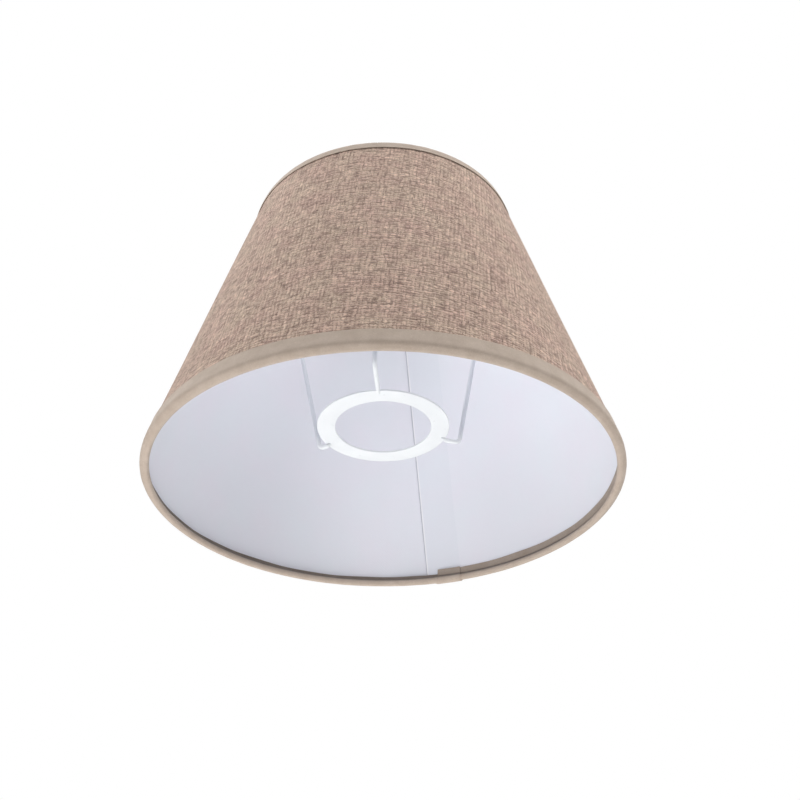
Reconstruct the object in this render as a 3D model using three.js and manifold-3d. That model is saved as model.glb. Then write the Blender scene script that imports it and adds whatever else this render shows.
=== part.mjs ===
// Tapered fabric lamp shade with a three-arm fitter.
//
// A linen-look cover is bonded to a translucent plastic lining. The two are rolled into a cone
// whose ends lap over a strip of double-sided tape. A wire ring sits inside each edge on a bead
// of glue, and a folded cloth binding wraps each edge. Three bent wires hang from the top ring and
// carry a flat washer, which drops over a lamp holder.
//
// Millimetres, +Z up. The origin is on the shade's axis, in the plane that its lower rim stands on.
// Azimuths are in degrees, anticlockwise from +X as seen from above.
import * as THREE from "three";
import { mergeVertices } from "three/addons/utils/BufferGeometryUtils.js";
import Module from "manifold-3d";

// Overall sizes. The ring radii are those of the wires' centre lines.
const OVERALL_HEIGHT = 143.5;
const BOTTOM_RING_RADIUS = 99.2;
const TOP_RING_RADIUS = 59.4;

// Sheet goods and wire.
const LINING_THICKNESS = 0.4;
const FABRIC_THICKNESS = 0.6;
const BINDING_THICKNESS = 0.4;
const SEAM_TAPE_THICKNESS = 0.2;
const RING_WIRE_RADIUS = 1.0;
const ARM_WIRE_RADIUS = 1.0;
const WIRE_SIDES = 10; // facets round each wire
const LAYER_GAP = 0.1; // between concentric layers, whose facets line up
const WELD_GAP = 0.25; // between pieces that are welded together

// How far the lining and cover run past the centre of each ring wire.
const LAMINATE_PAST_RING = 0.4;

// The vertical seam, where the rolled sheet laps over itself.
const SEAM_INNER_END = 77; // azimuth of the lap's free edge inside the shade
const SEAM_LAP = 17; // width of the lap at the lower edge, in mm
const LAP_RUNOUT = 10; // angle over which the sheet settles back beside the lap, in degrees
const HEM_THICKNESS = 0.4; // extra thickness of the cover's folded edge
const HEM_ANGLE = 4; // width of that fold, in degrees
const HEM_OVERHANG = 0.6; // how far the fold reaches past the lining's edge, in degrees
const SEAM_TAPE_MARGIN = 0.6; // from each edge of the lap, in degrees
const SEAM_TAPE_END_MARGIN = 2; // from each end of the lining, in mm
const COVER_BUTT_GAP = 0.3; // between the cover's plain end and the lap, in degrees

// The bindings. The legs are measured from the wire's centre, along the wall.
const BOTTOM_BINDING = { outerLeg: 7.0, innerLeg: 5.2, landing: 3.6 };
const TOP_BINDING = { outerLeg: 4.4, innerLeg: 5.2, landing: 3.6 };
const BINDING_LAP = [67.5, 75]; // azimuths between which the binding's two ends lie on each other
const STANDING_FLAT = 0.12; // how much of the rolled edge is pressed flat where it stands
const ROLL_STEPS = 7; // facets round the wire

// The glue bead in the corner between wire and lining, as [along the wall, out from the lining].
const GLUE_BEAD = [[0.75, -0.12], [3.0, -0.12], [1.35, -1.2]];

// The fitter.
const WASHER_HEIGHT = 30.4; // from the lower rim to the washer's underside
const WASHER_THICKNESS = 1.0;
const WASHER_OUTER_RADIUS = 29;
const WASHER_HOLE_RADIUS = 21;
const WASHER_CHAMFER = 0.15;
const ARM_UNDER_WASHER = 4; // how far each arm's foot reaches under the washer it is welded to
const ARM_BEND_RADIUS = 2.6;
const ARM_STEPS_PER_BEND = 6;
const NOTCH_CLEARANCE = 0.5; // round an arm, where the top binding is slit to let it pass
const NOTCH_OVERRUN = 1; // how far each slit runs past the binding
const ARMS = [
  { name: "fitter_arm_right", azimuth: 17.5, foot: 6.5 },
  { name: "fitter_arm_left", azimuth: 151, foot: 3.5 },
  { name: "fitter_arm_front", azimuth: 266, foot: 19.25 },
];

// Facets round the shade: coarse steps, and fine ones where the seam and the laps are.
const COARSE_STEP = 7.5;
const FINE_STEP = 2.5;
const FINE_FROM = 60;
const FINE_TO = 90;

const COLOURS = {
  lining: 0xe6e6ee,
  cover: 0xb39a86,
  binding: 0xb8aa98,
  enamel: 0xf4f6f8,
  steel: 0xb9bcc0,
  tape: 0xe8e2d0,
  glue: 0xdcd6c4,
};

const radians = THREE.MathUtils.degToRad;
const wasm = await Module();
wasm.setup();

// --- The wall ---------------------------------------------------------------------------------

const bottomWireHeight = RING_WIRE_RADIUS + LAYER_GAP + BINDING_THICKNESS - STANDING_FLAT;
const topWireHeight = OVERALL_HEIGHT - RING_WIRE_RADIUS - LAYER_GAP - BINDING_THICKNESS;
const wallRise = topWireHeight - bottomWireHeight;
const wallRun = BOTTOM_RING_RADIUS - TOP_RING_RADIUS;
const wallLength = Math.hypot(wallRise, wallRun);
const wallSin = wallRun / wallLength;
const wallCos = wallRise / wallLength;
const wireToLining = RING_WIRE_RADIUS + LAYER_GAP;

// The point that is `along` the wall from the bottom wire and `out` from the lining's inner face,
// as [radius, height].
function wallPoint(along, out) {
  return [
    BOTTOM_RING_RADIUS - along * wallSin + (out + wireToLining) * wallCos,
    bottomWireHeight + along * wallCos + (out + wireToLining) * wallSin,
  ];
}

const lapAngle = THREE.MathUtils.radToDeg(SEAM_LAP / BOTTOM_RING_RADIUS);
const SEAM_OUTER_END = SEAM_INNER_END - lapAngle;
const lapLift = LINING_THICKNESS + SEAM_TAPE_THICKNESS + 2 * LAYER_GAP;

// How far the lap pushes the sheet outwards, at an angle counted from the sheet's outer end.
function sheetLift(fromEnd) {
  const settle = (fromEnd - lapAngle - FINE_STEP) / LAP_RUNOUT;
  return lapLift * (1 - THREE.MathUtils.smoothstep(settle, 0, 1));
}

// The extra thickness of the cover's folded edge, at an angle counted from the same end.
function hemThickness(fromEnd) {
  return HEM_THICKNESS * (1 - THREE.MathUtils.smoothstep(fromEnd, HEM_ANGLE, HEM_ANGLE + FINE_STEP));
}

// How far the binding stands out over the lap, at an azimuth. It climbs to the fold in one step.
function bindingLift(azimuth) {
  const fromEnd = azimuth - SEAM_OUTER_END;
  const foot = -HEM_OVERHANG - 2 * FINE_STEP;
  const climbed = THREE.MathUtils.clamp((fromEnd - foot) / FINE_STEP, 0, 1);
  const beyond = Math.max(fromEnd, 0);
  return climbed * (sheetLift(beyond) + hemThickness(beyond));
}

// --- Geometry helpers -------------------------------------------------------------------------

// Azimuths from `from` to `to`, on the common grid of facets, with both ends included.
function azimuths(from, to) {
  const grid = [];
  for (let turn = Math.floor(from / 360); turn * 360 <= to; turn++)
    for (let a = 0; a < 360; a += a >= FINE_FROM && a < FINE_TO ? FINE_STEP : COARSE_STEP)
      grid.push(turn * 360 + a);
  const inside = grid.filter((a) => a > from + 0.05 && a < to - 0.05);
  return [from, ...inside, to];
}

// Turns every face round if the closed surface is inside out.
function facingOut(positions, index) {
  let volume = 0;
  const [a, b, c] = [new THREE.Vector3(), new THREE.Vector3(), new THREE.Vector3()];
  for (let i = 0; i < index.length; i += 3) {
    a.fromArray(positions, 3 * index[i]);
    b.fromArray(positions, 3 * index[i + 1]);
    c.fromArray(positions, 3 * index[i + 2]);
    volume += a.dot(b.cross(c));
  }
  if (volume < 0)
    for (let i = 0; i < index.length; i += 3)
      [index[i + 1], index[i + 2]] = [index[i + 2], index[i + 1]];
  return index;
}

// Carries a closed section round the axis. `section(azimuth)` gives its points as [radius, height],
// always as many. A whole turn closes on itself, and anything less gets two flat ends.
function sweepRound(section, from = 0, to = 360, wholeTurn = true) {
  const steps = azimuths(from, to);
  if (wholeTurn) steps.pop();
  const sections = steps.map(section);
  const count = sections[0].length;
  const positions = [];
  sections.forEach((points, i) => {
    const [cos, sin] = [Math.cos(radians(steps[i])), Math.sin(radians(steps[i]))];
    for (const [r, z] of points) positions.push(r * cos, r * sin, z);
  });
  const index = [];
  const spans = wholeTurn ? sections.length : sections.length - 1;
  for (let i = 0; i < spans; i++) {
    const [here, next] = [i * count, ((i + 1) % sections.length) * count];
    for (let k = 0; k < count; k++) {
      const l = (k + 1) % count;
      index.push(here + k, next + k, next + l, here + k, next + l, here + l);
    }
  }
  if (!wholeTurn) {
    const flat = (points) => points.map(([r, z]) => new THREE.Vector2(r, z));
    const last = (sections.length - 1) * count;
    const turned = THREE.ShapeUtils.isClockWise(flat(sections[0]));
    for (const [p, q, s] of THREE.ShapeUtils.triangulateShape(flat(sections[0]), []))
      index.push(...(turned ? [p, s, q] : [p, q, s]));
    for (const [p, q, s] of THREE.ShapeUtils.triangulateShape(flat(sections.at(-1)), []))
      index.push(...(turned ? [last + p, last + q, last + s] : [last + p, last + s, last + q]));
  }
  return new THREE.BufferGeometry()
    .setAttribute("position", new THREE.Float32BufferAttribute(positions, 3))
    .setIndex(facingOut(positions, index));
}

// A closed geometry as a manifold-3d solid, and back again.
function toSolid(geometry) {
  const bare = geometry.clone();
  bare.deleteAttribute("normal");
  bare.deleteAttribute("uv");
  const merged = mergeVertices(bare, 1e-4);
  return new wasm.Manifold(
    new wasm.Mesh({
      numProp: 3,
      vertProperties: new Float32Array(merged.attributes.position.array),
      triVerts: new Uint32Array(merged.index.array),
    }),
  );
}

function fromSolid(solid) {
  const mesh = solid.getMesh();
  return new THREE.BufferGeometry()
    .setAttribute("position", new THREE.BufferAttribute(mesh.vertProperties, 3))
    .setIndex(new THREE.BufferAttribute(mesh.triVerts, 1));
}

// --- The rolled sheet ---------------------------------------------------------------------------

// The section of a flat sheet between two distances out from the lining's inner face.
function sheetSection(inner, outer, margin = -LAMINATE_PAST_RING) {
  const [low, high] = [margin, wallLength - margin];
  return [wallPoint(low, inner), wallPoint(low, outer), wallPoint(high, outer), wallPoint(high, inner)];
}

function liningPanel() {
  const section = (azimuth) => {
    const inner = sheetLift(azimuth - SEAM_OUTER_END);
    return sheetSection(inner, inner + LINING_THICKNESS);
  };
  return sweepRound(section, SEAM_OUTER_END, SEAM_INNER_END + 360, false);
}

function fabricCover() {
  const section = (azimuth) => {
    const fromEnd = azimuth - SEAM_OUTER_END;
    const inner = LINING_THICKNESS + LAYER_GAP + sheetLift(fromEnd);
    return sheetSection(inner, inner + FABRIC_THICKNESS + hemThickness(fromEnd));
  };
  return sweepRound(section, SEAM_OUTER_END - HEM_OVERHANG, SEAM_OUTER_END + 360 - COVER_BUTT_GAP, false);
}

function seamTape() {
  const inner = LINING_THICKNESS + LAYER_GAP;
  const section = () => sheetSection(inner, inner + SEAM_TAPE_THICKNESS, SEAM_TAPE_END_MARGIN);
  return sweepRound(section, SEAM_OUTER_END + SEAM_TAPE_MARGIN, SEAM_INNER_END - SEAM_TAPE_MARGIN, false);
}

// --- The edges ----------------------------------------------------------------------------------

// A point given from an edge: `along` runs from that edge's wire into the wall.
function edgePoint(atTop, along, out) {
  return wallPoint(atTop ? wallLength - along : along, out);
}

function ringWire(atTop) {
  const circle = Array.from({ length: WIRE_SIDES }, (_, k) => {
    const turn = (k / WIRE_SIDES) * 2 * Math.PI;
    return edgePoint(
      atTop,
      RING_WIRE_RADIUS * Math.cos(turn),
      -wireToLining + RING_WIRE_RADIUS * Math.sin(turn),
    );
  });
  return sweepRound(() => circle);
}

function glueBead(atTop) {
  const section = GLUE_BEAD.map(([along, out]) => edgePoint(atTop, along, out));
  return sweepRound(() => section);
}

// One face of the binding, `clear` away from what it wraps, from the outer leg's end, round the
// laminate's edge and the wire, to the inner leg's end, as [along, out] pairs.
function bindingFace(leg, cover, clear) {
  const centre = [0, -wireToLining];
  const radius = RING_WIRE_RADIUS + clear;
  const corner = [-LAMINATE_PAST_RING, cover];
  const towards = Math.atan2(corner[1] - centre[1], corner[0] - centre[0]);
  const between = Math.hypot(corner[0] - centre[0], corner[1] - centre[1]);
  // Both the corner and the wire are rounded, so their common tangent leans by the difference.
  const leave = towards + Math.acos((radius - clear) / between);
  const land = [leg.landing, -clear];
  const far = Math.hypot(land[0] - centre[0], land[1] - centre[1]);
  const arrive = Math.atan2(land[1] - centre[1], land[0] - centre[0]) - Math.acos(radius / far);
  const face = [[leg.outerLeg, cover + clear], [corner[0], corner[1] + clear]];
  const midway = (Math.PI / 2 + leave) / 2;
  for (const turn of [midway, leave])
    face.push([corner[0] + clear * Math.cos(turn), corner[1] + clear * Math.sin(turn)]);
  const sweep = arrive + 2 * Math.PI - leave;
  for (let k = 0; k <= ROLL_STEPS; k++) {
    const turn = leave + (sweep * k) / ROLL_STEPS;
    face.push([centre[0] + radius * Math.cos(turn), centre[1] + radius * Math.sin(turn)]);
  }
  face.push(land, [leg.innerLeg, -clear]);
  return face;
}

function bindingGeometry(atTop) {
  const leg = atTop ? TOP_BINDING : BOTTOM_BINDING;
  const cover = LINING_THICKNESS + LAYER_GAP + FABRIC_THICKNESS;
  const [lapFrom, lapTo] = BINDING_LAP;
  return sweepRound((azimuth) => {
    const lapped = azimuth >= lapFrom && azimuth <= lapTo;
    const thickness = BINDING_THICKNESS * (lapped ? 2 : 1);
    const wrapped = cover + bindingLift(azimuth);
    const inside = bindingFace(leg, wrapped, LAYER_GAP);
    const outside = bindingFace(leg, wrapped, LAYER_GAP + thickness);
    return [...outside, ...inside.reverse()].map(([along, out]) => {
      const [r, z] = edgePoint(atTop, along, out);
      return [r, THREE.MathUtils.clamp(z, 0, OVERALL_HEIGHT)];
    });
  });
}

// The top binding's inner leg is slit where each arm reaches the ring.
function topBinding() {
  const reach = TOP_BINDING.innerLeg + NOTCH_OVERRUN;
  const width = 2 * (ARM_WIRE_RADIUS + NOTCH_CLEARANCE);
  const depth = 2 * ARM_WIRE_RADIUS + WELD_GAP + NOTCH_OVERRUN;
  const slits = ARMS.map((arm) => {
    const box = new THREE.BoxGeometry(depth, width, 2 * reach);
    box.translate(TOP_RING_RADIUS - RING_WIRE_RADIUS - depth / 2, 0, topWireHeight - reach + ARM_WIRE_RADIUS);
    box.rotateZ(radians(arm.azimuth));
    return toSolid(box);
  });
  const whole = toSolid(bindingGeometry(true));
  return fromSolid(slits.reduce((left, slit) => left.subtract(slit), whole));
}

// --- The fitter ---------------------------------------------------------------------------------

function fitterWasher() {
  const [inner, outer] = [WASHER_HOLE_RADIUS, WASHER_OUTER_RADIUS];
  const [low, high] = [WASHER_HEIGHT, WASHER_HEIGHT + WASHER_THICKNESS];
  const cut = WASHER_CHAMFER;
  const section = [
    [inner + cut, low], [outer - cut, low], [outer, low + cut], [outer, high - cut],
    [outer - cut, high], [inner + cut, high], [inner, high - cut], [inner, low + cut],
  ];
  return sweepRound(() => section);
}

// An arm's foot comes out from under the washer. It bends up and ends beside the top ring's wire.
function fitterArm({ azimuth, foot }) {
  const middle = WASHER_HEIGHT - WELD_GAP - ARM_WIRE_RADIUS;
  const start = new THREE.Vector2(WASHER_OUTER_RADIUS - ARM_UNDER_WASHER, middle);
  const bend = new THREE.Vector2(WASHER_OUTER_RADIUS + foot, middle);
  const end = new THREE.Vector2(
    TOP_RING_RADIUS - RING_WIRE_RADIUS - WELD_GAP - ARM_WIRE_RADIUS,
    topWireHeight,
  );
  const rise = end.clone().sub(bend).normalize();
  const half = Math.atan2(rise.y, rise.x) / 2;
  const setback = ARM_BEND_RADIUS * Math.tan(half);
  const from = new THREE.Vector2(bend.x - setback, middle);
  const centre = new THREE.Vector2(from.x, middle + ARM_BEND_RADIUS);
  const points = [start, from];
  for (let k = 1; k <= ARM_STEPS_PER_BEND; k++) {
    const turn = -Math.PI / 2 + (2 * half * k) / ARM_STEPS_PER_BEND;
    points.push(new THREE.Vector2(Math.cos(turn), Math.sin(turn)).multiplyScalar(ARM_BEND_RADIUS).add(centre));
  }
  points.push(end);
  return wireAlong(points, radians(azimuth));
}

// A round wire along points that lie in one upright plane through the axis, mitred at each.
function wireAlong(points, azimuth) {
  const out = new THREE.Vector3(Math.cos(azimuth), Math.sin(azimuth), 0);
  const up = new THREE.Vector3(0, 0, 1);
  const across = new THREE.Vector3().crossVectors(up, out);
  const positions = [];
  points.forEach((point, i) => {
    const before = points[Math.max(i - 1, 0)];
    const after = points[Math.min(i + 1, points.length - 1)];
    const into = point.clone().sub(before).normalize();
    const onwards = after.clone().sub(point).normalize();
    const along = into.clone().add(onwards).normalize();
    const stretch = 1 / Math.max(along.dot(i ? into : onwards), 0.5);
    for (let k = 0; k < WIRE_SIDES; k++) {
      const turn = (k / WIRE_SIDES) * 2 * Math.PI;
      const side = ARM_WIRE_RADIUS * Math.cos(turn);
      const lift = ARM_WIRE_RADIUS * Math.sin(turn) * stretch;
      const place = out.clone().multiplyScalar(point.x - lift * along.y);
      place.addScaledVector(up, point.y + lift * along.x).addScaledVector(across, side);
      positions.push(...place.toArray());
    }
  });
  const index = [];
  for (let i = 0; i < points.length - 1; i++)
    for (let k = 0; k < WIRE_SIDES; k++) {
      const [p, q] = [i * WIRE_SIDES + k, i * WIRE_SIDES + ((k + 1) % WIRE_SIDES)];
      index.push(p, p + WIRE_SIDES, q + WIRE_SIDES, p, q + WIRE_SIDES, q);
    }
  const last = (points.length - 1) * WIRE_SIDES;
  for (let k = 1; k < WIRE_SIDES - 1; k++)
    index.push(0, k, k + 1, last, last + k + 1, last + k);
  return new THREE.BufferGeometry()
    .setAttribute("position", new THREE.Float32BufferAttribute(positions, 3))
    .setIndex(facingOut(positions, index));
}

// --- The assembly -------------------------------------------------------------------------------

const shade = new THREE.Group();

function add(name, geometry, colour, roughness, metalness = 0) {
  const mesh = new THREE.Mesh(geometry, new THREE.MeshStandardMaterial({ color: colour, roughness, metalness }));
  mesh.name = name;
  shade.add(mesh);
}

add("lining_panel", liningPanel(), COLOURS.lining, 0.55);
add("fabric_cover", fabricCover(), COLOURS.cover, 0.95);
add("seam_tape", seamTape(), COLOURS.tape, 0.6);
add("bottom_ring_wire", ringWire(false), COLOURS.steel, 0.35, 0.9);
add("top_ring_wire", ringWire(true), COLOURS.enamel, 0.4);
add("bottom_glue_bead", glueBead(false), COLOURS.glue, 0.4);
add("top_glue_bead", glueBead(true), COLOURS.glue, 0.4);
add("bottom_binding", bindingGeometry(false), COLOURS.binding, 0.9);
add("top_binding", topBinding(), COLOURS.binding, 0.9);
add("fitter_washer", fitterWasher(), COLOURS.enamel, 0.4);
for (const arm of ARMS) add(arm.name, fitterArm(arm), COLOURS.enamel, 0.4);

export default shade;
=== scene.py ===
import math

import bpy
import numpy as np
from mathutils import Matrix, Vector


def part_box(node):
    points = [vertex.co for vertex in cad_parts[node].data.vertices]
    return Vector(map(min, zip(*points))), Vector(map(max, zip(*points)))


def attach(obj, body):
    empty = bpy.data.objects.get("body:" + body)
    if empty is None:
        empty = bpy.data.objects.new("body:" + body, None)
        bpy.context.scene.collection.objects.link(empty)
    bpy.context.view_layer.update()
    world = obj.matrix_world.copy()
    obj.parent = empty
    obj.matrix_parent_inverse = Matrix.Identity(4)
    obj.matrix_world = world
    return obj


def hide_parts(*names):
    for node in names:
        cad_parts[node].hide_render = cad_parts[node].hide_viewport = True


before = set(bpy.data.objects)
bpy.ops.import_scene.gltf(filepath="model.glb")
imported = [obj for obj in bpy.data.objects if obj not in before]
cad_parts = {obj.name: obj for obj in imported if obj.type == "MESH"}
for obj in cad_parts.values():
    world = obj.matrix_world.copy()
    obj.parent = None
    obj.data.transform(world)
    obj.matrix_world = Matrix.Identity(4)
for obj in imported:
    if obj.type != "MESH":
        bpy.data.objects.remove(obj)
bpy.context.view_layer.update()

MM = 0.001

# --- Sizes, as the CAD model has them ------------------------------------------------------------

LINING_THICKNESS = 0.4 * MM
FABRIC_THICKNESS = 0.6 * MM
BINDING_THICKNESS = 0.4 * MM
TAPE_THICKNESS = 0.2 * MM
RING_WIRE_RADIUS = 1.0 * MM
ARM_WIRE_RADIUS = 1.0 * MM
LAYER_GAP = 0.1 * MM
PAST_RING = 0.4 * MM  # how far the sheets run past the centre of each ring wire
WIRE_TO_LINING = RING_WIRE_RADIUS + LAYER_GAP
COVER_FACE = LINING_THICKNESS + LAYER_GAP + FABRIC_THICKNESS
LAP_LIFT = LINING_THICKNESS + TAPE_THICKNESS + 2 * LAYER_GAP
COVER_END_GAP = 0.5 * MM  # between the cover's inner end and the lap
HEM_THICKNESS = 0.4 * MM
HEM_WIDTH = 7.0 * MM
HEM_RUNOUT = 1.2 * MM  # over which the hem tapers off

# The lap of the rolled sheet. Its two ends are straight and parallel.
LAP_CENTRE = 72.2
LAP_WIDTH = 17.0 * MM
LAP_SHOULDER = 2.0 * MM  # beyond the lap, before the sheet starts to settle
LAP_RUNOUT = 17.0 * MM  # over which the sheet settles back beside the lap
TAPE_INSET = 1.0 * MM  # from each side of the lap
TAPE_END_GAP = 2.0 * MM  # from each ring wire
# The painted highlight along the lining's cut edge, and the painted shadow line beside it.
EDGE_GLINT = 0.6 * MM  # the lining's bright cut edge
EDGE_SHADOW = (-0.3 * MM, 0.6 * MM)  # the dark line beside it, past the lap's side

# Unevenness of the wall, as (waves in a turn, share of the height, phase, twist up the wall).
RIPPLE_HEIGHT = 0.14 * MM
RIPPLE_WAVES = ((3, 1.0, 0.7, 2.1), (7, 0.7, 2.9, -3.4), (13, 0.4, 1.1, 5.0))

# The bindings, with legs measured along the wall from the ring wire's centre.
LOWER_OUTER_LEG = 7.0 * MM
UPPER_OUTER_LEG = 4.4 * MM
UPPER_INNER_LEG = 5.2 * MM
SHORT_INNER_LEG = 3.1 * MM  # the lower binding's, where it is shortest
INNER_LEG_GROWTH = 1.9 * MM
OVERLAP_INNER_LEG = 5.3 * MM
CREASE = 1.75 * MM  # where the roll meets the wall again
LEG_FLARE = 0.10 * MM  # how far the outer leg's cut edge stands off
FLARE_REACH = 0.5 * MM
STRIP_END_RIGHT = 67.25  # the binding's two ends lie on each other between these azimuths
STRIP_END_LEFT = 74.0
OVERLAP_DESCENT = 1.2  # degrees over which the raised end comes down
OVERLAP_GAP = 0.05 * MM
STEP_REACH = 1.6 * MM  # how far before the cover's folded end the binding starts to climb
STEP_RUN = 1.4 * MM
PUCKER = 0.05 * MM
SECTION_POINTS = 64  # along the binding's middle line

# Painted shade in the binding's crease with the roll and where the inner leg is short, and a darker
# glued inner leg, as shares of the full dark tint.
CREASE_SHADE = 0.86
LEG_DARKENING = 0.32
SHORT_LEG_SHADE = 0.38  # added where the leg is short

# Arms as (name, CAD node, azimuth, how far past the washer's edge the bend is).
ARMS = (
    ("arm_right", "fitter_arm_right", 17.5, 6.5 * MM),
    ("arm_left", "fitter_arm_left", 151.0, 3.5 * MM),
    ("arm_front", "fitter_arm_front", 266.0, 19.25 * MM),
)
WELD_SEEN = 2.0 * MM  # how far the foot's flattened end reaches in under the washer
WELD_DEPTH = 0.12 * MM  # how far the foot is sunk into the washer
TOP_WELD_DEPTH = 0.05 * MM
FOOT_TAPER = (0.3, 0.55, 0.85)  # the foot's first points, as shares of the wire's radius
TOP_TAPER = 0.7
ARM_BEND_RADIUS = 2.6 * MM
ARM_SIDES = 18
SLIT_HALF_WIDTH = 1.35 * MM  # in the upper binding, where an arm passes
SLIT_FLARE = 0.35 * MM
SLIT_DEPTH = 0.46  # as a share of the strip's width

WASHER_ROUNDING = 0.32 * MM
WIRE_GIRTH = 6.0 * MM  # for the flat coordinates of round pieces

# --- Colours, weaves and studio ------------------------------------------------------------------

# Pairs are (dark, light) or (one tint, another tint).
PINK_THREADS = (0.385, 0.260, 0.208, 1), (0.935, 0.675, 0.555, 1)
BEIGE_THREADS = (0.400, 0.296, 0.226, 1), (0.945, 0.728, 0.578, 1)
# The linen's real dark slubs and lines, and the painted shade in the gaps of its weave.
LINEN_SLUBS_AND_GAP_SHADE = (0.125, 0.074, 0.060, 1)
BINDING_THREADS = (0.490, 0.396, 0.322, 1), (0.585, 0.486, 0.408, 1)
# Painted shade in the gaps of the binding's weave.
BINDING_GAP_SHADE = (0.230, 0.175, 0.135, 1)
# Painted shade in the binding's crease, and a darker inner leg.
BINDING_SHADE_AND_DARKENING = (0.100, 0.085, 0.076, 1)
FILM_TINTS = (0.815, 0.804, 0.864, 1), (0.800, 0.820, 0.870, 1)
FILM_GRID = (0.940, 0.945, 0.980, 1)
# Painted shade where the film lies double, for the light that passes through it less.
FILM_DOUBLED_SHADE = (0.722, 0.755, 0.810, 1)
FILM_EDGE_HIGHLIGHT = (0.985, 0.985, 0.990, 1)
FILM_SHADED = (0.420, 0.420, 0.480, 1)
ENAMEL_DULL = (0.94, 0.965, 0.99)  # shares of the enamel's tone in red, green and blue
ENAMEL_LIGHT = (1.0, 1.025, 1.045)
ENAMEL_SPECKS = (0.55, 0.56, 0.57, 1)
# Painted shade on the arms' risers.
ENAMEL_RISER_SHADE = (0.480, 0.510, 0.600, 1)
TAPE_TINTS = (0.62, 0.56, 0.40, 1), (0.78, 0.73, 0.58, 1)
GLUE_TINTS = (0.56, 0.49, 0.33, 1), (0.74, 0.69, 0.54, 1)
FLOOR_TINTS = (0.80, 0.80, 0.80, 1), (0.84, 0.84, 0.84, 1)
WHITE = (1, 1, 1, 1)
WHITE_TONE = 0.885
WIRE_TONE = 0.72

# A thread's half width, its unevenness and its wandering are shares of the pitch.
LINEN_WEAVE = {
    "warp_pitch": 1.62 * MM,
    "weft_pitch": 1.52 * MM,
    "half_width": 0.44,
    "uneven": 0.15,
    "wander": 1.3,
}
BINDING_WEAVE = {
    "warp_pitch": 0.42 * MM,
    "weft_pitch": 0.38 * MM,
    "half_width": 0.52,
    "uneven": 0.06,
    "wander": 0.9,
}
THREAD_RISE = 0.55  # how far a thread rises over its neighbour, as a share of its own height
FILM_GRID_PITCH = 0.9 * MM

CAMERA_PLACE = (0.0, -0.4078, -0.2267)
CAMERA_TILT = 33.69  # degrees above the horizon
CAMERA_TURN = -0.10
CAMERA_LENS = 49.46
CAMERA_SHIFT = 0.019

# Lights as (name, place, size, power). All of them face one point near the shade's middle.
LIGHTS = (
    ("right", (0.9, -0.35, 0.25), 0.5, 2.4),
    ("left", (-0.9, -0.3, 0.25), 0.5, 0.7),
    ("overhead", (0.0, 0.2, 1.0), 0.6, 2.3),
    ("top_front", (0.0, -0.6, 0.9), 0.6, 3.6),
    ("top_left", (-0.75, 0.0, 0.7), 0.5, 3.8),
    ("top_right", (0.75, 0.0, 0.7), 0.5, 2.8),
    ("below", (0.0, 0.1, -0.55), 0.5, 1.35),
    ("below_left", (-0.5, -0.1, -0.45), 0.4, 1.35),
)
LIGHT_TARGET = (0.0, 0.0, 0.07)
WORLD_LIGHT = 0.35  # what the white surroundings give; the camera sees them as white
FLOOR_HALF_SIZE = 40.0
FLOOR_HEIGHT = -0.62
FLOOR_GLOW = 0.45  # makes the floor about as pale to the camera as the white surroundings

# --- The wall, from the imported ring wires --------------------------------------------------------


def ring_line(node):
    """Radius and height of a ring wire's centre line."""
    points = [v.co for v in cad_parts[node].data.vertices]
    radii = [math.hypot(p.x, p.y) for p in points]
    heights = [p.z for p in points]
    return (min(radii) + max(radii)) / 2, (min(heights) + max(heights)) / 2


LOWER_RADIUS, LOWER_HEIGHT = ring_line("bottom_ring_wire")
UPPER_RADIUS, UPPER_HEIGHT = ring_line("top_ring_wire")
WALL_LENGTH = math.hypot(LOWER_RADIUS - UPPER_RADIUS, UPPER_HEIGHT - LOWER_HEIGHT)
WALL_SIN = (LOWER_RADIUS - UPPER_RADIUS) / WALL_LENGTH
WALL_COS = (UPPER_HEIGHT - LOWER_HEIGHT) / WALL_LENGTH
APEX_TO_LOWER = LOWER_RADIUS / WALL_SIN  # along the wall, from the cone's tip


def wall_point(along, out):
    """Radius and height of a point of the wall, counted from the lower edge."""
    radius = LOWER_RADIUS - along * WALL_SIN + (out + WIRE_TO_LINING) * WALL_COS
    height = LOWER_HEIGHT + along * WALL_COS + (out + WIRE_TO_LINING) * WALL_SIN
    return radius, height


def edge_point(at_top, along, out):
    """The same, counted from the wire of either edge into the wall."""
    return wall_point(WALL_LENGTH - along if at_top else along, out)


def smooth_step(x):
    """0 up to 0, 1 from 1 on, and a smooth climb between."""
    x = np.clip(x, 0.0, 1.0)
    return x * x * (3.0 - 2.0 * x)


def sheet_lift(from_end):
    """How far the lap pushes the sheet outwards, at a distance from the sheet's outer end."""
    return LAP_LIFT * (1.0 - smooth_step((from_end - LAP_WIDTH - LAP_SHOULDER) / LAP_RUNOUT))


def hem_thickness(from_end):
    """Extra thickness of the cover's folded edge, at a distance from the sheet's outer end."""
    return HEM_THICKNESS * (1.0 - smooth_step((from_end - HEM_WIDTH) / HEM_RUNOUT))


def ripple(azimuth, along):
    """Small unevenness of the rolled wall, which dies out at the two wires."""
    share = np.clip(along / WALL_LENGTH, 0.0, 1.0)
    fade = np.sin(np.pi * share) ** 0.7
    turn = np.radians(azimuth)
    waves = sum(
        strength * np.sin(count * turn + phase + twist * share)
        for count, strength, phase, twist in RIPPLE_WAVES
    )
    return RIPPLE_HEIGHT * fade * waves


# --- Mesh building -------------------------------------------------------------------------------


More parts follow.
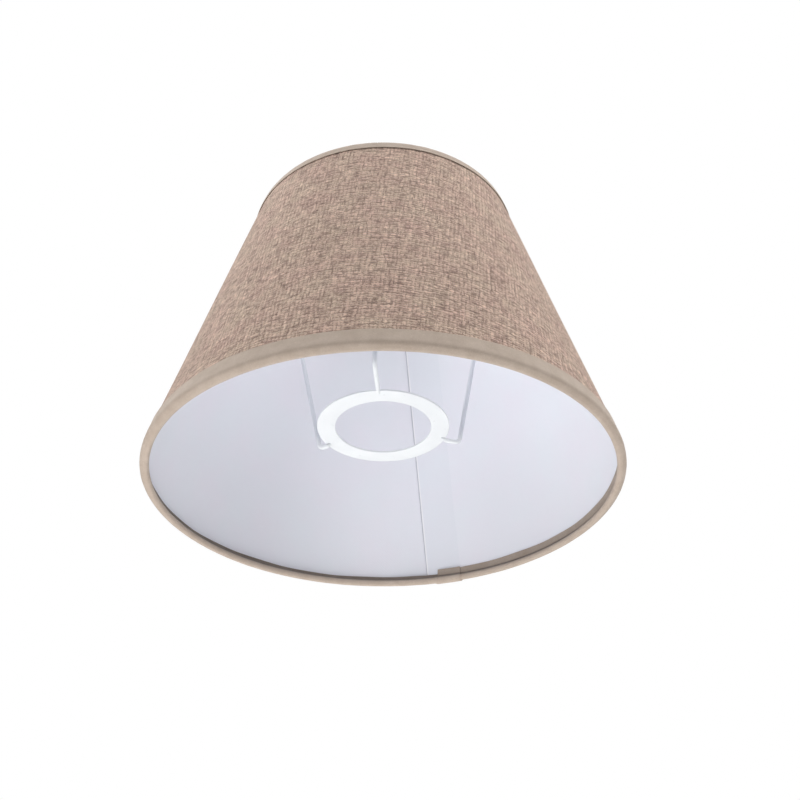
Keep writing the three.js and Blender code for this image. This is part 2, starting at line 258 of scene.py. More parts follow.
def add_piece(name, points, uvs, material, node, closed=False):
    """A piece that rides on the body and stands for one CAD node.

    `points` has one row for each place that the piece's section is carried through.
    """
    faces = turned_out(points, sweep_faces(*points.shape[:2], closed))
    mesh = bpy.data.meshes.new(name)
    mesh.from_pydata(points.reshape(-1, 3).tolist(), [], faces)
    corners = np.zeros(len(mesh.loops), np.int64)
    mesh.loops.foreach_get("vertex_index", corners)
    layer = mesh.uv_layers.new(name="along_the_piece")
    layer.data.foreach_set("uv", uvs.reshape(-1, 2)[corners].astype(np.float32).ravel())
    piece = bpy.data.objects.new(name, mesh)
    bpy.context.scene.collection.objects.link(piece)
    mesh.materials.append(material)
    for polygon in mesh.polygons:
        polygon.use_smooth = True
    mesh.set_sharp_from_angle(angle=math.radians(50))
    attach(piece, "root")
    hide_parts(node)
    return piece


def store_shares(piece, name, shares):
    """One number for each point of a piece, which its material reads by name."""
    attribute = piece.data.attributes.new(name, "FLOAT", "POINT")
    attribute.data.foreach_set("value", np.asarray(shares, np.float32).ravel())


def turned_out(points, faces):
    """The faces, all turned round if the closed surface is inside out."""
    flat = points.reshape(-1, 3)
    quads = np.array([f for f in faces if len(f) == 4])
    a, b, c, d = (flat[quads[:, k]] for k in range(4))
    volume = np.einsum("ij,ij->i", a, np.cross(b, c) + np.cross(c, d)).sum()
    return faces if volume > 0 else [f[::-1] for f in faces]


def sweep_faces(columns, count, closed):
    """Quads of a section of `count` points carried through `columns` places.

    The sweep is closed to a ring, or has a cap at each end.
    """
    faces = []
    for i in range(columns if closed else columns - 1):
        here, after = i * count, ((i + 1) % columns) * count
        for k in range(count):
            m = (k + 1) % count
            faces.append((here + k, after + k, after + m, here + m))
    if not closed:
        half, last = count // 2, (columns - 1) * count
        for k in range(half - 1):
            quad = (k, k + 1, count - 2 - k, count - 1 - k)
            faces.append(quad)
            faces.append(tuple(last + q for q in quad[::-1]))
    return faces


def round_points(azimuth, radius, height):
    """Points in space from azimuths, radii and heights."""
    turn = np.radians(azimuth)
    return np.stack([radius * np.cos(turn), radius * np.sin(turn), height], axis=-1)


def flat_coordinates(u, v):
    """One (u, v) for each point, from a column of u, a row of v, or a full grid of either."""
    return np.stack(np.broadcast_arrays(u, v), axis=-1)


def graded(start, end, step, near, fine_step, reach):
    """Values from start to end, with fine steps within `reach` of each value in `near`."""
    values = list(np.arange(start, end, step))
    for place in near:
        values += list(np.arange(place - reach, place + reach, fine_step))
    values = sorted(v for v in values if start < v < end)
    kept = [start]
    for v in values:
        if v - kept[-1] > 0.6 * fine_step:
            kept.append(v)
    if end - kept[-1] < 0.6 * fine_step:
        kept.pop()
    return np.array(kept + [end])


# --- Materials -----------------------------------------------------------------------------------


class Shader:
    """A short way to write a material's nodes."""

    def __init__(self, name):
        self.material = bpy.data.materials.new(name)
        self.material.use_nodes = True
        self.tree = self.material.node_tree
        self.surface = self.tree.nodes["Principled BSDF"]

    def node(self, kind, settings=None, **sockets):
        """A new node. Its inputs are named, with _ for a space, or numbered as i0, i1 and so on."""
        made = self.tree.nodes.new(kind)
        for key, value in (settings or {}).items():
            setattr(made, key, value)
        for key, value in sockets.items():
            place = int(key[1:]) if key[1:].isdigit() else key.replace("_", " ")
            self.put(made.inputs[place], value)
        return made

    def put(self, socket, value):
        """Links an output to an input, or gives the input a plain value."""
        if isinstance(value, bpy.types.NodeSocket):
            self.tree.links.new(value, socket)
        else:
            socket.default_value = value

    def math(self, operation, a, b=0.0):
        return self.node("ShaderNodeMath", {"operation": operation}, i0=a, i1=b).outputs[0]

    def mix(self, share, a, b):
        made = self.node("ShaderNodeMix", {"data_type": "RGBA"}, i0=share, i6=a, i7=b)
        return made.outputs[2]

    def mix_number(self, share, a, b):
        return self.node("ShaderNodeMix", i0=share, i2=a, i3=b).outputs[0]

    def stain(self, colour, where, strength, tint):
        """The colour, partly replaced by a tint."""
        return self.mix(self.math("MULTIPLY", where, strength), colour, tint)

    def spread(self, value, low, high, to_low=0.0, to_high=1.0):
        sockets = {"i0": value, "i1": low, "i2": high, "i3": to_low, "i4": to_high}
        return self.node("ShaderNodeMapRange", **sockets).outputs[0]

    def noise(self, where, scale, detail=2.0, roughness=0.5):
        sockets = {"Vector": where, "Scale": scale, "Detail": detail, "Roughness": roughness}
        return self.node("ShaderNodeTexNoise", **sockets).outputs[0]

    def vector(self, x, y, z=0.0):
        return self.node("ShaderNodeCombineXYZ", i0=x, i1=y, i2=z).outputs[0]

    def scaled(self, x, x_scale, y, y_scale, z=0.0):
        """A vector from two numbers, each with a scale of its own."""
        return self.vector(self.math("MULTIPLY", x, x_scale), self.math("MULTIPLY", y, y_scale), z)

    def along(self):
        """The piece's own flat coordinates, in metres, as two numbers and a vector."""
        uv = self.node("ShaderNodeUVMap", {"uv_map": "along_the_piece"}).outputs[0]
        parts = self.node("ShaderNodeSeparateXYZ", i0=uv)
        return parts.outputs[0], parts.outputs[1], uv

    def place(self):
        return self.node("ShaderNodeTexCoord").outputs["Object"]

    def stored(self, name):
        """The numbers that store_shares gave the piece."""
        return self.node("ShaderNodeAttribute", {"attribute_name": name}).outputs["Fac"]

    def seen(self):
        """1 where the camera looks straight at the surface, and 0 for any other path of light."""
        return self.node("ShaderNodeLightPath").outputs["Is Camera Ray"]

    def bump(self, height, distance, strength):
        made = self.node("ShaderNodeBump", Height=height, Distance=distance, Strength=strength)
        self.put(self.surface.inputs["Normal"], made.outputs[0])

    def finish(self, **sockets):
        for key, value in sockets.items():
            self.put(self.surface.inputs[key.replace("_", " ")], value)
        return self.material


def plain_weave(s, u, v, warp_pitch, weft_pitch, half_width, uneven, wander):
    """One-over-one weave.

    Gives its height, where the warp is on top, the numbers of the warp and weft threads there, and
    the place counted in threads.
    """
    place = s.vector(u, v)
    drift_u = s.noise(place, 0.11 / warp_pitch, 2.0)
    drift_v = s.noise(s.vector(v, u, 0.37), 0.11 / warp_pitch, 2.0)
    a = s.math("ADD", s.math("DIVIDE", u, warp_pitch), s.math("MULTIPLY", drift_u, wander))
    b = s.math("ADD", s.math("DIVIDE", v, weft_pitch), s.math("MULTIPLY", drift_v, wander))
    warp, weft = s.math("FLOOR", a), s.math("FLOOR", b)

    def thread(across, number, along):
        """Height across one thread whose width changes along it."""
        thick = s.noise(s.scaled(number, 7.31, along, 0.31, 0.5), 1.0, 2.0)
        half = s.spread(thick, 0.3, 0.7, half_width - uneven, half_width + uneven)
        side = s.math("ABSOLUTE", s.math("SUBTRACT", s.math("FRACT", across), 0.5))
        share = s.math("DIVIDE", side, half)
        return s.math("SUBTRACT", 1.0, s.math("MULTIPLY", share, share))

    def wave(along, number):
        """How far a thread rises and sinks as it passes over and under the others."""
        turn = s.math("MULTIPLY", s.math("ADD", along, number), math.pi)
        return s.math("MULTIPLY", s.math("SINE", turn), THREAD_RISE)

    warp_height = s.math("ADD", thread(a, warp, b), wave(b, warp))
    weft_height = s.math("SUBTRACT", thread(b, weft, a), wave(a, weft))
    height = s.math("MAXIMUM", warp_height, weft_height)
    warp_on_top = s.math("GREATER_THAN", warp_height, weft_height)
    return height, warp_on_top, (warp, weft), (a, b)


def linen_material():
    """Heathered taupe linen look: coarse uneven plain weave in pink and beige, streaked dark, with
    painted shade in the gaps between threads.
    """
    s = Shader("linen_weave")
    u, v, flat = s.along()
    height, warp_on_top, (warp, weft), (a, b) = plain_weave(s, u, v, **LINEN_WEAVE)
    warp_tone = s.noise(s.scaled(warp, 3.17, b, 0.13, 1.5), 1.0, 3.0, 0.6)
    weft_tone = s.noise(s.scaled(a, 0.13, weft, 3.17, 7.5), 1.0, 3.0, 0.6)
    tone = s.mix_number(warp_on_top, weft_tone, warp_tone)
    fibre = s.noise(flat, 1200.0, 3.0, 0.8)
    light = s.math("ADD", s.math("MULTIPLY", tone, 0.6), s.math("MULTIPLY", fibre, 0.4))
    lightness = s.spread(light, 0.3, 0.7)
    clouds = s.spread(s.noise(flat, 75.0, 3.0, 0.6), 0.36, 0.64)
    thread = s.mix(clouds, s.mix(lightness, *PINK_THREADS), s.mix(lightness, *BEIGE_THREADS))

    across = s.noise(s.scaled(u, 250.0, v, 860.0), 1.0, 3.0, 0.75)
    upright = s.noise(s.scaled(u, 980.0, v, 170.0, 3.0), 1.0, 3.0, 0.75)
    dashes = s.math("MULTIPLY", s.spread(across, 0.38, 0.52, 1.0, 0.0), 0.74)
    lines = s.math("MULTIPLY", s.spread(upright, 0.36, 0.49, 1.0, 0.0), 0.70)
    # Painted shade in the gaps between the threads, darkest where the weave is lowest; joined below
    # with the real dark slubs and lines.
    gap_shade = s.math("MULTIPLY", s.spread(height, -0.10, 0.95, 1.0, 0.0), 0.66)
    dark = s.math("MAXIMUM", gap_shade, s.math("MAXIMUM", dashes, lines))

    hairs = s.math("MULTIPLY", s.noise(flat, 5200.0, 1.0), 0.12)
    s.bump(s.math("ADD", s.spread(height, -0.4, 1.5), hairs), 0.45 * MM, 0.9)
    return s.finish(
        Base_Color=s.mix(dark, thread, LINEN_SLUBS_AND_GAP_SHADE),
        Roughness=s.spread(light, 0.3, 0.7, 0.95, 0.82),
        Sheen_Weight=0.12,
        Sheen_Roughness=0.5,
        Specular_IOR_Level=0.2,
    )


def binding_material():
    """Fine sand-coloured plain weave with painted shade between its threads, and painted crease shade
    and a darker inner leg where the piece says so.
    """
    s = Shader("binding_weave")
    u, v, flat = s.along()
    height, _, (warp, weft), _ = plain_weave(s, u, v, **BINDING_WEAVE)
    clouds = s.noise(flat, 160.0, 3.0, 0.6)
    threads = s.noise(s.scaled(warp, 3.1, weft, 2.7), 1.0, 1.0)
    light = s.math("ADD", s.math("MULTIPLY", clouds, 0.6), s.math("MULTIPLY", threads, 0.4))
    tint = s.mix(s.spread(light, 0.35, 0.65), *BINDING_THREADS)
    # Painted shade in the gaps between the threads.
    colour = s.mix(s.spread(height, 0.0, 0.8, 0.55, 0.0), tint, BINDING_GAP_SHADE)
    s.bump(s.spread(height, -0.2, 1.5), 0.12 * MM, 0.7)
    return s.finish(
        # Painted shade in the crease and on a short inner leg, and a darker inner leg beyond.
        Base_Color=s.mix(s.stored("crease_shade_and_dark_leg"), colour, BINDING_SHADE_AND_DARKENING),
        Roughness=s.spread(threads, 0.3, 0.7, 0.78, 0.92),
        Sheen_Weight=0.15,
        Sheen_Roughness=0.45,
        Specular_IOR_Level=0.25,
    )


def lining_material():
    """White film with a faint fine grid, with painted shade where it lies double, a painted highlight
    on its cut edge and a painted shadow line beside it.
    """
    s = Shader("lining_film")
    u, v, flat = s.along()
    grid_u, grid_v = (
        s.math("SINE", s.math("MULTIPLY", axis, 2 * math.pi / FILM_GRID_PITCH)) for axis in (u, v)
    )
    grid = s.math("MAXIMUM", grid_u, grid_v)
    cloud = s.noise(flat, 38.0, 3.0, 0.55)
    speck = s.noise(flat, 900.0, 2.0, 0.5)
    faint = s.math("MULTIPLY", s.spread(grid, -0.4, 1.0), s.spread(speck, 0.3, 0.7, 0.03, 0.09))
    colour = s.mix(faint, s.mix(s.spread(cloud, 0.35, 0.65), *FILM_TINTS), FILM_GRID)
    # Painted shade, a little cooler, where the film lies double.
    colour = s.stain(colour, s.stored("doubled"), 0.25, FILM_DOUBLED_SHADE)
    # Painted highlight along the cut edge.
    colour = s.stain(colour, s.stored("edge_highlight"), 0.55, FILM_EDGE_HIGHLIGHT)
    colour = s.stain(colour, s.stored("beside_edge"), 0.65, FILM_SHADED)
    relief = s.math("ADD", s.math("MULTIPLY", grid, 0.5), s.math("MULTIPLY", speck, 0.8))
    s.bump(relief, 0.03 * MM, 0.6)
    rough = s.spread(speck, 0.3, 0.7, 0.42, 0.56)
    return s.finish(Base_Color=colour, Roughness=rough, Specular_IOR_Level=0.35)


def enamel_material(name, tone):
    """White powder coat with a slight orange-peel texture, a few dull specks and painted shade on the
    arms' risers.
    """
    s = Shader(name)
    place = s.place()
    peel = s.noise(place, 1400.0, 2.0, 0.5)
    cloud = s.noise(place, 60.0, 2.0, 0.5)
    speck = s.math("GREATER_THAN", s.noise(place, 520.0, 1.0), 0.73)
    dull, light = ((*(tone * c for c in shares), 1) for shares in (ENAMEL_DULL, ENAMEL_LIGHT))
    colour = s.mix(s.spread(cloud, 0.3, 0.7), dull, light)
    colour = s.stain(colour, speck, 0.18, ENAMEL_SPECKS)
    # Painted shade on the arm's riser, above its bend.
    colour = s.stain(colour, s.stored("riser"), 0.45, ENAMEL_RISER_SHADE)
    s.bump(peel, 0.02 * MM, 0.5)
    rough = s.spread(peel, 0.3, 0.7, 0.30, 0.44)
    return s.finish(Base_Color=colour, Roughness=rough, Specular_IOR_Level=0.5)


def tape_material():
    """Thin yellowish double-sided tape with fine bubbles."""
    s = Shader("mounting_tape")
    place = s.place()
    bubbles = s.node("ShaderNodeTexVoronoi", Vector=place, Scale=900.0).outputs[0]
    colour = s.mix(s.spread(s.noise(place, 120.0, 2.0), 0.3, 0.7), *TAPE_TINTS)
    s.bump(bubbles, 0.05 * MM, 0.5)
    return s.finish(Base_Color=colour, Roughness=s.spread(bubbles, 0.0, 0.8, 0.30, 0.55))


def glue_material():
    """Dried fabric glue, uneven and slightly amber."""
    s = Shader("dried_glue")
    lumps = s.noise(s.place(), 420.0, 3.0, 0.6)
    colour = s.mix(s.spread(lumps, 0.3, 0.7), *GLUE_TINTS)
    s.bump(lumps, 0.2 * MM, 0.8)
    return s.finish(Base_Color=colour, Roughness=s.spread(lumps, 0.3, 0.7, 0.22, 0.40))


# --- The rolled sheet ----------------------------------------------------------------------------


def sheet_grid(inner_of, outer_of, past_centre):
    """Points of a rolled sheet between two faces, with the flat coordinates they were cut from.

    The sheet starts at the lap's right side, lies outside there, goes once round and ends
    `past_centre` beyond the lap's middle line. The last three results are each point's distance
    from the start and to the end, and whether it is on the inner face.
    """
    shares = graded(0.0, 1.0, 1 / 420, (0.0, 1.0), 1 / 2400, 0.055)
    rows = np.linspace(-PAST_RING, WALL_LENGTH + PAST_RING, 46)
    along = np.tile(np.concatenate([rows, rows[::-1]]), (len(shares), 1))
    inside = np.arange(2 * len(rows)) < len(rows)
    centre_radius = LOWER_RADIUS - along * WALL_SIN + WIRE_TO_LINING * WALL_COS
    start = LAP_CENTRE - np.degrees((LAP_WIDTH / 2) / centre_radius)
    end = LAP_CENTRE + 360 + np.degrees(past_centre / centre_radius)
    azimuth = start + shares[:, None] * (end - start)
    from_start = np.radians(azimuth - start) * centre_radius
    to_end = np.radians(end - azimuth) * centre_radius
    out = np.where(inside, inner_of(from_start), outer_of(from_start))
    points = round_points(azimuth, *wall_point(along, out + ripple(azimuth, along)))
    slant = APEX_TO_LOWER - along
    unrolled = np.radians(azimuth - LAP_CENTRE - 180) * WALL_SIN
    uvs = flat_coordinates(slant * np.sin(unrolled), slant * np.cos(unrolled))
    return points, uvs, from_start, to_end, inside


def make_cover(material):
    """The fabric, with a folded hem at its outer end. Its inner end stops beside the lap."""

    def inner(from_end):
        return LINING_THICKNESS + LAYER_GAP + sheet_lift(from_end)

    def outer(from_end):
        return inner(from_end) + FABRIC_THICKNESS + hem_thickness(from_end)

    points, uvs, *_ = sheet_grid(inner, outer, -LAP_WIDTH / 2 - COVER_END_GAP)
    piece = add_piece("cover", points, uvs, material, "fabric_cover")


def make_lining(material):
    """The film, which lies double in the lap."""

    def outer(from_end):
        return sheet_lift(from_end) + LINING_THICKNESS

    points, uvs, from_start, to_end, inside = sheet_grid(sheet_lift, outer, LAP_WIDTH / 2)
    piece = add_piece("lining", points, uvs, material, "lining_panel")
    past_lap = from_start - LAP_WIDTH
    shadow_start, shadow_end = EDGE_SHADOW
    store_shares(piece, "doubled", inside & (to_end < LAP_WIDTH))
    # Where the painted highlight and the painted shadow line go.
    store_shares(piece, "edge_highlight", inside & (to_end < EDGE_GLINT))
    store_shares(piece, "beside_edge", inside & (past_lap > shadow_start) & (past_lap < shadow_end))


def make_tape(material):
    """The tape between the two layers of the lap."""
    columns = np.linspace(-1, 1, 16)
    rows = np.linspace(TAPE_END_GAP, WALL_LENGTH - TAPE_END_GAP, 40)
    along = np.tile(np.concatenate([rows, rows[::-1]]), (len(columns), 1))
    inner_face = LINING_THICKNESS + LAYER_GAP
    out = np.repeat([inner_face, inner_face + TAPE_THICKNESS], len(rows))
    reach = np.degrees((LAP_WIDTH / 2 - TAPE_INSET) / (LOWER_RADIUS - along * WALL_SIN))
    azimuth = LAP_CENTRE + columns[:, None] * reach
    points = round_points(azimuth, *wall_point(along, out + ripple(azimuth, along)))
    uvs = flat_coordinates(np.radians(azimuth) * LOWER_RADIUS, along)
    add_piece("lap_tape", points, uvs, material, "seam_tape")


# --- The bindings --------------------------------------------------------------------------------


def binding_path(outer_leg, inner_leg, cover, clear):
    """Middle line of the binding, `clear` away from what it wraps, as dense (along, out) points.

    It runs up the cover's outer face, tucks in past the cover's edge, goes round the ring wire and
    lands on the lining's inner face.
    """
    centre = np.array([0.0, -WIRE_TO_LINING])
    roll = RING_WIRE_RADIUS + clear
    leg = np.linspace(outer_leg, 1.2 * MM, 24)
    flare = LEG_FLARE * np.exp(-((outer_leg - leg) / FLARE_REACH) ** 2)
    outer_side = np.stack([leg, cover + clear + flare], axis=1)
    tuck = np.array([
        [0.45 * MM, cover + clear - 0.01 * MM],
        [-0.05 * MM, cover + clear - 0.10 * MM],
        [-0.48 * MM, cover + clear - 0.32 * MM],
        [-0.85 * MM, cover * 0.60 + clear - 0.16 * MM],
    ])
    turns = np.radians(np.linspace(150, 372, 46))
    circle = centre + roll * np.stack([np.cos(turns), np.sin(turns)], axis=1)
    landing = max(CREASE, roll * 1.02) + 0.35 * clear
    touch = np.array([[landing, -clear - 0.06 * MM], [landing + 0.25 * MM, -clear]])
    rest = np.linspace(landing + 0.5 * MM, max(inner_leg, landing + 0.8 * MM), 12)
    inner_side = np.stack([rest, 0 * rest - clear], axis=1)
    return np.concatenate([outer_side, tuck, circle, touch, inner_side])


def soften(path, rounds=2):
    """Rounds a line's corners, leaving its two ends."""
    for _ in range(rounds):
        middle = 0.25 * path[:-2] + 0.5 * path[1:-1] + 0.25 * path[2:]
        path = np.concatenate([path[:1], middle, path[-1:]])
    return path


def resample(path, count, used_share):
    """The first part of a line as `count` evenly spaced points, with each one's length so far."""
    steps = np.hypot(*np.diff(path, axis=0).T)
    length = np.concatenate([[0.0], np.cumsum(steps)])
    at = np.linspace(0.0, length[-1] * used_share, count)
    line = np.stack([np.interp(at, length, path[:, 0]), np.interp(at, length, path[:, 1])], axis=1)
    return line, at


def thickened(line, thickness):
    """A closed outline round a line, thinner at both ends, with the first end drawn in a little."""
    along = np.gradient(line, axis=0)
    along /= np.hypot(*along.T)[:, None]
    normal = np.stack([-along[:, 1], along[:, 0]], axis=1)
    half = np.full(len(line), thickness / 2)
    half[0] = half[-1] = 0.25 * thickness
    half[1] = half[-2] = 0.46 * thickness
    line = line.copy()
    line[0] += 0.05 * MM * (line[1] - line[0]) / np.hypot(*(line[1] - line[0]))
    return np.concatenate([line + normal * half[:, None], (line - normal * half[:, None])[::-1]])


def lower_inner_leg(azimuth):
    """The lower binding's inner leg: short on one side of its overlap, growing tall round to it."""
    if azimuth < STRIP_END_LEFT:
        return OVERLAP_INNER_LEG
    turned = (azimuth - STRIP_END_LEFT) % 360
    drift = smooth_step((turned - 110) / 160)
    slow_wave = 0.12 * MM * np.sin(np.radians(9 * azimuth))
    fast_wave = 0.08 * MM * np.sin(np.radians(23 * azimuth + 40))
    return SHORT_INNER_LEG + INNER_LEG_GROWTH * drift + (slow_wave + fast_wave)


def overlap_lift(azimuth):
    """How far the strip's first end is raised, where it lies on the strip's other end."""
    climb = 1.0 - smooth_step((azimuth - STRIP_END_LEFT) / OVERLAP_DESCENT)
    return (BINDING_THICKNESS + OVERLAP_GAP) * climb


def cover_lift(azimuth, at_top):
    """How far the lap pushes the binding out at an edge, climbing to the folded end in one step."""
    radius = UPPER_RADIUS if at_top else LOWER_RADIUS
    start = LAP_CENTRE - math.degrees(LAP_WIDTH / 2 / radius)
    turned = (azimuth - start + 180) % 360 - 180
    from_end = np.radians(turned) * radius
    climbed = smooth_step((from_end + STEP_REACH) / STEP_RUN)
    beyond = np.maximum(from_end, 0.0)
    return climbed * (sheet_lift(beyond) + hem_thickness(beyond))


def slit_share(azimuth):
    """How much of the upper binding's path is left beside an arm, which passes through a slit."""
    share = 1.0
    for _, _, arm_azimuth, _ in ARMS:
        across = math.radians(abs((azimuth - arm_azimuth + 180) % 360 - 180)) * UPPER_RADIUS
        cut = 1.0 - float(smooth_step((across - SLIT_HALF_WIDTH) / SLIT_FLARE))
        share = min(share, 1.0 - SLIT_DEPTH * cut)
    return share


def shade_and_darkening(outline, inner_leg):
    """Painted shade in the glued inner leg's crease with the roll and where the leg is short, and a
    darker leg beyond.
    """
    along, out = outline[:, 0], outline[:, 1]
    crease = np.exp(-((along - CREASE - 0.05 * MM) / (0.75 * MM)) ** 2)
    leg = smooth_step((along - CREASE + 0.2 * MM) / (0.4 * MM))
    short = 1.0 - smooth_step((inner_leg - 3.4 * MM) / (1.0 * MM))
    dark = np.maximum(CREASE_SHADE * crease, (LEG_DARKENING + SHORT_LEG_SHADE * short) * leg)
    return np.where(out < 0.0, dark, 0.0)


def binding_section(azimuth, at_top):
    """The binding's outline at an azimuth, with the length along it and its painted crease shade and
    darker leg.
    """
    turn = math.radians(azimuth)
    pucker = PUCKER * math.sin(31 * turn) * math.sin(17 * turn + math.radians(50))
    outer_leg = UPPER_OUTER_LEG if at_top else LOWER_OUTER_LEG
    outer_leg += 0.10 * MM * math.sin(11 * turn + math.radians(20)) + pucker
    inner_leg = UPPER_INNER_LEG if at_top else lower_inner_leg(azimuth)
    lift = overlap_lift(azimuth) if azimuth < 180 else 0.0
    clear = LAYER_GAP + BINDING_THICKNESS / 2 + lift + max(pucker, 0)
    cover = COVER_FACE + cover_lift(azimuth, at_top)
    path = soften(binding_path(outer_leg, inner_leg, cover, clear))
    line, length = resample(path, SECTION_POINTS, slit_share(azimuth) if at_top else 1.0)
    outline = thickened(line, BINDING_THICKNESS)
    return outline, np.concatenate([length, length[::-1]]), shade_and_darkening(outline, inner_leg)


def make_binding(at_top, material):
    """A strip folded round a ring wire and both sheets, with its two ends on each other."""
    near = [STRIP_END_RIGHT, STRIP_END_LEFT, STRIP_END_LEFT + 360]
    if at_top:
        near += [(arm[2] - STRIP_END_RIGHT) % 360 + STRIP_END_RIGHT for arm in ARMS]
    columns = graded(STRIP_END_RIGHT, STRIP_END_LEFT + 360, 1.0, near, 0.18, 3.0)
    sections = [binding_section(azimuth, at_top) for azimuth in columns]
    outlines, lengths, crease_shade_and_dark_leg = (np.array(part) for part in zip(*sections))
    radius, height = edge_point(at_top, outlines[..., 0], outlines[..., 1])
    points = round_points(columns[:, None], radius, height)
    edge_radius = UPPER_RADIUS if at_top else LOWER_RADIUS
    uvs = flat_coordinates(np.radians(columns)[:, None] * edge_radius, lengths)
    name, node = ("upper_binding", "top_binding") if at_top else ("lower_binding", "bottom_binding")
    piece = add_piece(name, points, uvs, material, node)
    store_shares(piece, "crease_shade_and_dark_leg", crease_shade_and_dark_leg)


# --- Wires, glue and washer ----------------------------------------------------------------------


def full_turn(columns):
    """Evenly spaced azimuths, once round."""
    return np.linspace(0, 360, columns, endpoint=False)


def make_round(name, sections, material, node):
    """A closed section carried once round the axis. Each place has its radii and heights."""
    azimuth = full_turn(len(sections))
    points = round_points(azimuth[:, None], sections[:, 0], sections[:, 1])
    arc = np.radians(azimuth)[:, None] * sections[:, 0].mean()
    around = np.linspace(0, 1, points.shape[1]) * WIRE_GIRTH
    add_piece(name, points, flat_coordinates(arc, around), material, node, closed=True)


def make_ring(name, at_top, material, node):
    """A ring wire at an edge, inside its binding."""
    turns = np.linspace(0, 2 * math.pi, 20, endpoint=False)
    along = RING_WIRE_RADIUS * np.cos(turns)
    out = RING_WIRE_RADIUS * np.sin(turns) - WIRE_TO_LINING
    section = np.array(edge_point(at_top, along, out))
    make_round(name, np.tile(section, (240, 1, 1)), material, node)


def make_glue(name, at_top, material, node):
    """An uneven fillet in the corner between the ring wire and the lining."""

    def section(turn):
        swell = 1.0 + 0.18 * math.sin(17 * turn) + 0.12 * math.sin(41 * turn + 1.3)
        along = np.array([0.55, 1.00, 1.50, 1.30, 1.00, 0.78]) * MM
        fillet = [-0.05 - 0.14 * swell, -0.05 - 0.26 * swell]
        out = np.array([-0.06, -0.05, -0.05, *fillet, -0.40]) * MM
        return edge_point(at_top, along, out)

    sections = np.array([section(turn) for turn in np.radians(full_turn(360))])
    make_round(name, sections, material, node)


def make_washer(material):
    """The flat ring of the fitter, with rounded edges."""
    low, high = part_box("fitter_washer")
    outer = high.x
    hole = min(math.hypot(v.co.x, v.co.y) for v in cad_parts["fitter_washer"].data.vertices)
    corners = (
        (outer - WASHER_ROUNDING, low.z + WASHER_ROUNDING, -90),
        (outer - WASHER_ROUNDING, high.z - WASHER_ROUNDING, 0),
        (hole + WASHER_ROUNDING, high.z - WASHER_ROUNDING, 90),
        (hole + WASHER_ROUNDING, low.z + WASHER_ROUNDING, 180),
    )
    section = []
    for radius, height, first in corners:
        turns = np.radians(np.linspace(first, first + 90, 6))
        section.append([
            radius + WASHER_ROUNDING * np.cos(turns),
            height + WASHER_ROUNDING * np.sin(turns),
        ])
    sections = np.tile(np.concatenate(section, axis=1), (240, 1, 1))
    make_round("washer", sections, material, "fitter_washer")


def arm_line(foot):
    """Middle line of an arm in its upright plane, as (radius, height), and the radius at each point."""
    low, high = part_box("fitter_washer")
    middle = low.z - ARM_WIRE_RADIUS + WELD_DEPTH
    bend = np.array([high.x + foot, middle])
    top_radius = UPPER_RADIUS - RING_WIRE_RADIUS - ARM_WIRE_RADIUS + TOP_WELD_DEPTH
    end = np.array([top_radius, UPPER_HEIGHT])
    rise = (end - bend) / np.hypot(*(end - bend))
    half = math.atan2(rise[1], rise[0]) / 2
    start = bend[0] - ARM_BEND_RADIUS * math.tan(half)
    centre = np.array([start, middle + ARM_BEND_RADIUS])
    turns = np.linspace(-math.pi / 2, -math.pi / 2 + 2 * half, 16)
    curve = centre + ARM_BEND_RADIUS * np.stack([np.cos(turns), np.sin(turns)], axis=1)
    flat_part = np.linspace(high.x - WELD_SEEN, start, 8, endpoint=False)
    foot_line = np.stack([flat_part, np.full(8, middle)], axis=1)
    riser = curve[-1] + (end - curve[-1]) * np.linspace(0.04, 1.0, 22)[:, None]
    line = np.concatenate([foot_line, curve, riser])
    size = np.full(len(line), ARM_WIRE_RADIUS)
    flattened = len(FOOT_TAPER)
    size[:flattened] *= FOOT_TAPER
    line[:flattened, 1] += ARM_WIRE_RADIUS - size[:flattened]
    size[-1] *= TOP_TAPER
    return line, size


def make_arm(name, node, azimuth, foot, material):
    """A bent wire from the washer up to the upper ring, with painted shade above its bend."""
    line, size = arm_line(foot)
    ahead = np.gradient(line, axis=0)
    ahead /= np.hypot(*ahead.T)[:, None]
    turns = np.linspace(0, 2 * math.pi, ARM_SIDES, endpoint=False)
    turn = math.radians(azimuth)
    outward = np.array([math.cos(turn), math.sin(turn), 0.0])
    across = np.array([-math.sin(turn), math.cos(turn), 0.0])
    up = np.array([0.0, 0.0, 1.0])
    lift = size[:, None] * np.sin(turns)
    side = size[:, None] * np.cos(turns)
    radius = line[:, :1] - lift * ahead[:, 1:]
    height = line[:, 1:] + lift * ahead[:, :1]
    points = radius[..., None] * outward + height[..., None] * up + side[..., None] * across
    length = np.concatenate([[0], np.cumsum(np.hypot(*np.diff(line, axis=0).T))])
    uvs = flat_coordinates(length[:, None], turns * ARM_WIRE_RADIUS)
    piece = add_piece(name, points, uvs, material, node)
    foot_height = line[len(FOOT_TAPER), 1]
    # Where the riser's painted shade goes, growing from nothing just above the foot.
    climb = smooth_step((line[:, 1:] - foot_height - ARM_WIRE_RADIUS) / (3 * MM))
    store_shares(piece, "riser", np.repeat(climb, ARM_SIDES, axis=1))


# --- Studio --------------------------------------------------------------------------------------


def area_light(name, place, size, power):
    """A round light that faces the shade."""
    data = bpy.data.lights.new(name, "AREA")
    data.shape = "DISK"
    data.size = size
    data.energy = power
    lamp = bpy.data.objects.new(name, data)
    lamp.location = place
    towards = Vector(LIGHT_TARGET) - Vector(place)
    lamp.rotation_euler = towards.to_track_quat("-Z", "Y").to_euler()
    bpy.context.scene.collection.objects.link(lamp)


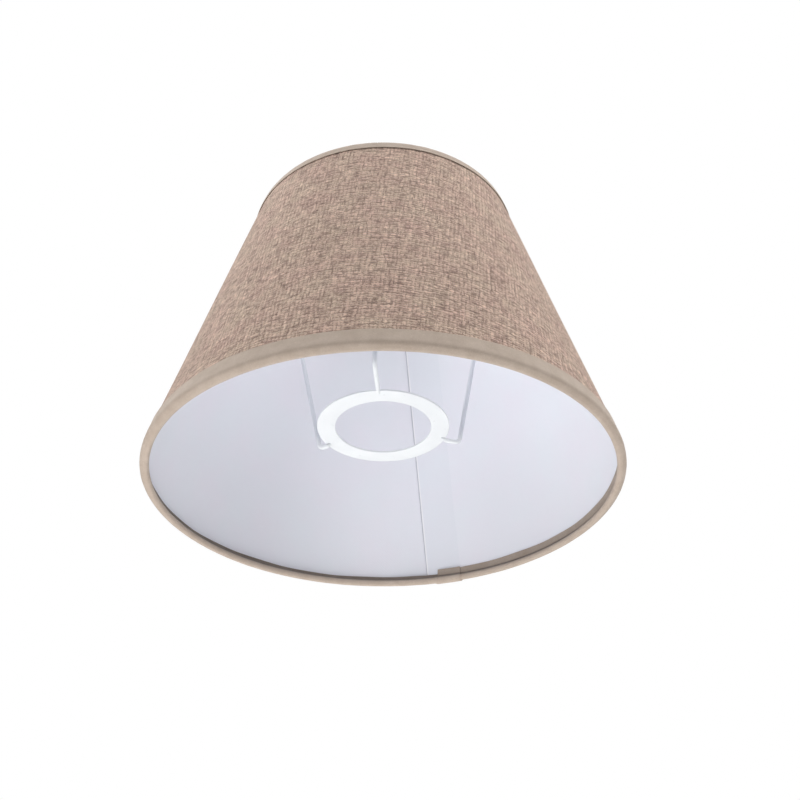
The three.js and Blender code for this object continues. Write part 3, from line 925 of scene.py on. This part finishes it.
def make_camera():
    """The photo's view, from below the front."""
    data = bpy.data.cameras.new("camera")
    data.lens = CAMERA_LENS
    data.sensor_width = 36.0
    data.shift_x = CAMERA_SHIFT
    data.clip_start = 0.01
    data.clip_end = 50.0
    camera = bpy.data.objects.new("camera", data)
    camera.location = CAMERA_PLACE
    camera.rotation_euler = (math.radians(90 + CAMERA_TILT), 0.0, math.radians(CAMERA_TURN))
    bpy.context.scene.collection.objects.link(camera)
    bpy.context.scene.camera = camera


def make_floor():
    """A wide pale floor below the camera."""
    half = FLOOR_HALF_SIZE
    mesh = bpy.data.meshes.new("floor")
    corners = ((-half, -half), (half, -half), (half, half), (-half, half))
    mesh.from_pydata([(x, y, FLOOR_HEIGHT) for x, y in corners], [], [(0, 1, 2, 3)])
    floor = bpy.data.objects.new("floor", mesh)
    s = Shader("floor_paint")
    tint = s.mix(s.noise(s.place(), 3.0, 2.0), *FLOOR_TINTS)
    mesh.materials.append(s.finish(
        Base_Color=tint,
        Roughness=0.9,
        Specular_IOR_Level=0.1,
        Emission_Color=WHITE,
        Emission_Strength=s.math("MULTIPLY", s.seen(), FLOOR_GLOW),
    ))
    bpy.context.scene.collection.objects.link(floor)


def make_studio():
    """White surroundings and the lights."""
    world = bpy.data.worlds.new("studio")
    bpy.context.scene.world = world
    world.use_nodes = True
    tree = world.node_tree
    seen = tree.nodes.new("ShaderNodeLightPath").outputs["Is Camera Ray"]
    strength = tree.nodes.new("ShaderNodeMapRange")
    tree.links.new(seen, strength.inputs[0])
    strength.inputs[3].default_value = WORLD_LIGHT
    strength.inputs[4].default_value = 1.0
    tree.links.new(strength.outputs[0], tree.nodes["Background"].inputs[1])
    tree.nodes["Background"].inputs[0].default_value = WHITE
    bpy.context.scene.view_settings.view_transform = "Standard"
    for light in LIGHTS:
        area_light(*light)


# --- The scene -----------------------------------------------------------------------------------

binding = binding_material()
enamel = enamel_material("white_enamel", WHITE_TONE)
wire = enamel_material("wire_coating", WIRE_TONE)
glue = glue_material()
make_ring("lower_ring", False, wire, "bottom_ring_wire")
make_ring("upper_ring", True, wire, "top_ring_wire")
make_lining(lining_material())
make_cover(linen_material())
make_tape(tape_material())
make_glue("lower_glue", False, glue, "bottom_glue_bead")
make_glue("upper_glue", True, glue, "top_glue_bead")
make_binding(False, binding)
make_binding(True, binding)
make_washer(enamel)
for arm_name, arm_node, arm_azimuth, arm_foot in ARMS:
    make_arm(arm_name, arm_node, arm_azimuth, arm_foot, enamel)
make_floor()
make_studio()
make_camera()
